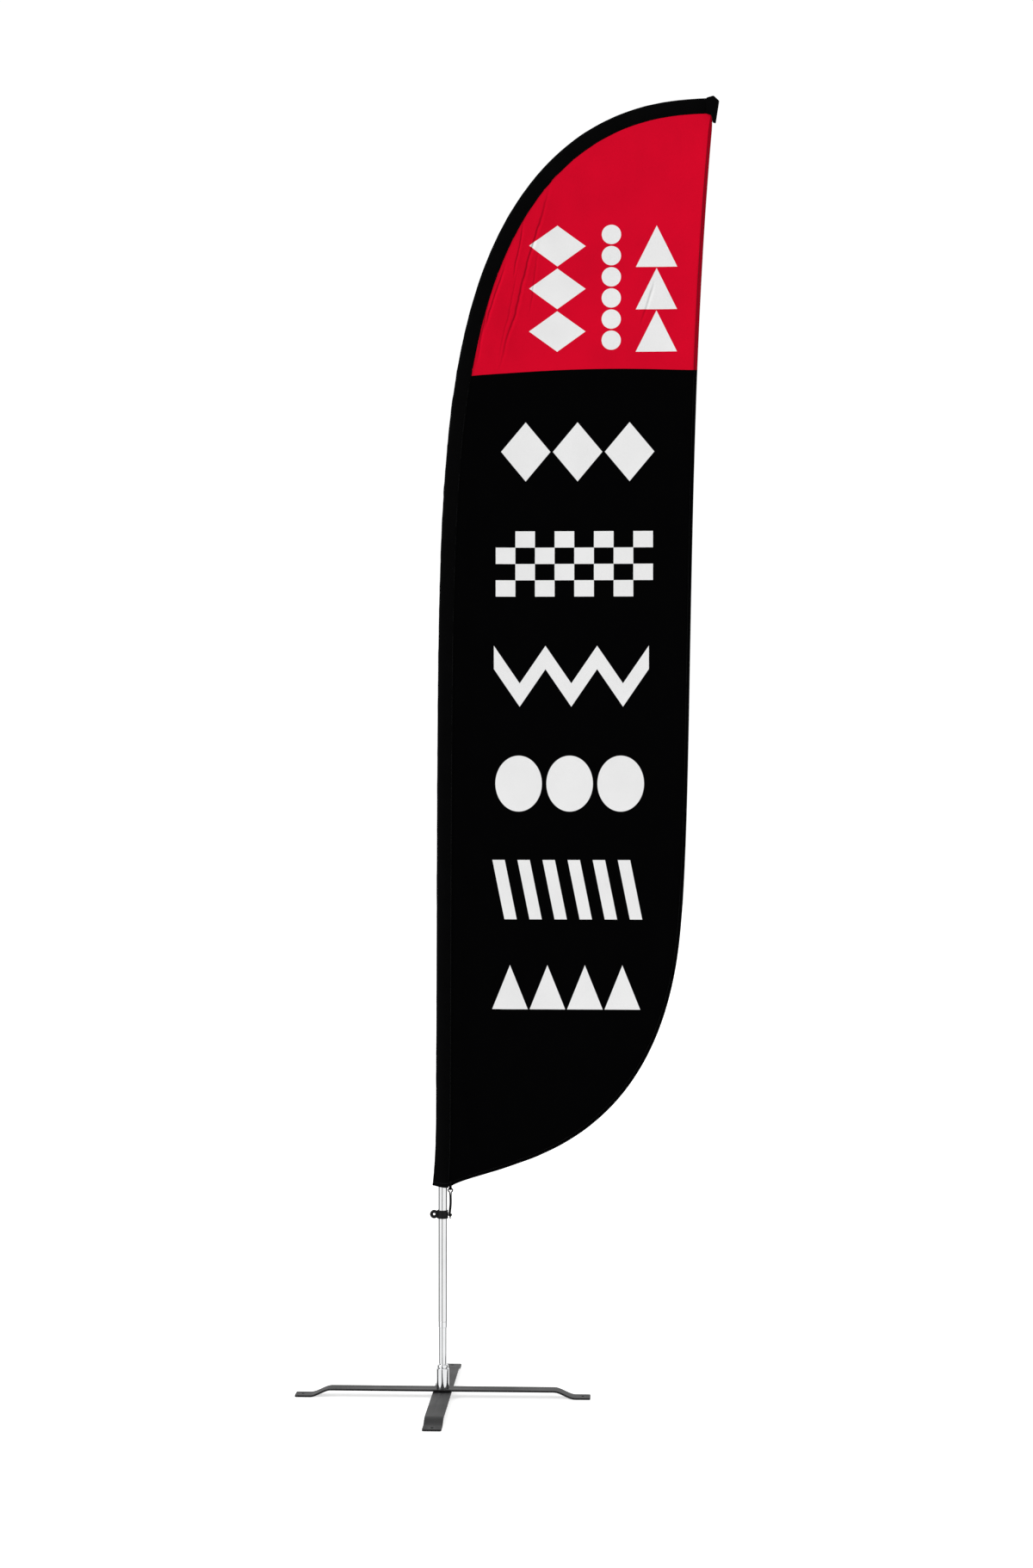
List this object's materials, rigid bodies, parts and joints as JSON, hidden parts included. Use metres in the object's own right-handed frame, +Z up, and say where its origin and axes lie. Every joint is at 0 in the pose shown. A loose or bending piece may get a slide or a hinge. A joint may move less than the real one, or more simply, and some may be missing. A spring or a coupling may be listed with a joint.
{
  "type": "feather flag with pole",
  "caption": "Tall feather-shaped banner on a bent pole that turns in a bearing spindle over a folding cross base.",
  "frame": {"origin": "on the pole's axis, at floor level", "axes": "+Z up along the pole, +X from the pole towards the flag's free edge and along the upper leg, +Y along the lower leg"},
  "size_m": [1.1475, 0.8, 3.511],
  "materials": {
    "powder_coat": "satin",
    "chrome": "polished",
    "steel": "satin",
    "aluminium": "polished",
    "black_plastic": "satin",
    "fibreglass": "gloss",
    "printed_cloth": "matte",
    "black_cloth": "matte",
    "elastic": "matte"
  },
  "bodies": {
    "base": {"upper_leg": "powder_coat", "leg_slip_washer": "black_plastic", "pivot_washer": "steel", "pivot_bolt": "steel", "spindle_housing": "chrome", "bearing_cap": "chrome", "lower_bearing_outer_race": "steel", "upper_bearing_outer_race": "steel", "outer_race_spacer": "steel"},
    "lower_leg": {"lower_leg": "powder_coat"},
    "spindle": {"spindle_shaft": "chrome", "spindle_nut": "steel", "stop_collar": "chrome", "lower_bearing_inner_race": "steel", "upper_bearing_inner_race": "steel", "inner_race_spacer": "steel"},
    "ball_cages": {"lower_bearing_cage": "steel", "upper_bearing_cage": "steel"},
    "pole": {"lower_pole_tube": "aluminium", "upper_pole_tube": "aluminium", "rod_ferrule": "black_plastic", "fibreglass_rod": "fibreglass", "joint_sleeve": "aluminium", "fibreglass_tip": "fibreglass", "pole_tip_cap": "black_plastic", "flag_sleeve": "black_cloth", "flag_panel": "printed_cloth", "trailing_hem": "black_cloth", "tip_pocket": "black_cloth", "corner_strap": "black_cloth", "elastic_cord": "elastic"},
    "clip": {"tension_clip": "black_plastic"}
  },
  "joints": [
    {"name": "lower_leg_fold", "type": "hinge", "parent": "base", "child": "lower_leg", "pos_m": [0, 0, 0.0124], "axis": [0, 0, 1], "range_deg": [-78, 78]},
    {"name": "spindle_spin", "type": "hinge", "parent": "base", "child": "spindle", "pos_m": [0, 0, 0.0659], "axis": [0, 0, 1], "continuous": true},
    {"name": "cage_roll", "type": "hinge", "parent": "base", "child": "ball_cages", "pos_m": [0, 0, 0.0659], "axis": [0, 0, 1], "continuous": true},
    {"name": "pole_lift", "type": "slide", "parent": "spindle", "child": "pole", "axis": [0, 0, 1], "range_m": [0, 0.12]},
    {"name": "clip_slide", "type": "slide", "parent": "pole", "child": "clip", "axis": [0, 0, 1], "range_m": [-0.04, 0.015], "deforming": ["elastic_cord"]}
  ],
  "couplings": [
    {"joint": "cage_roll", "follows": "spindle_spin", "ratio": 0.435}
  ]
}
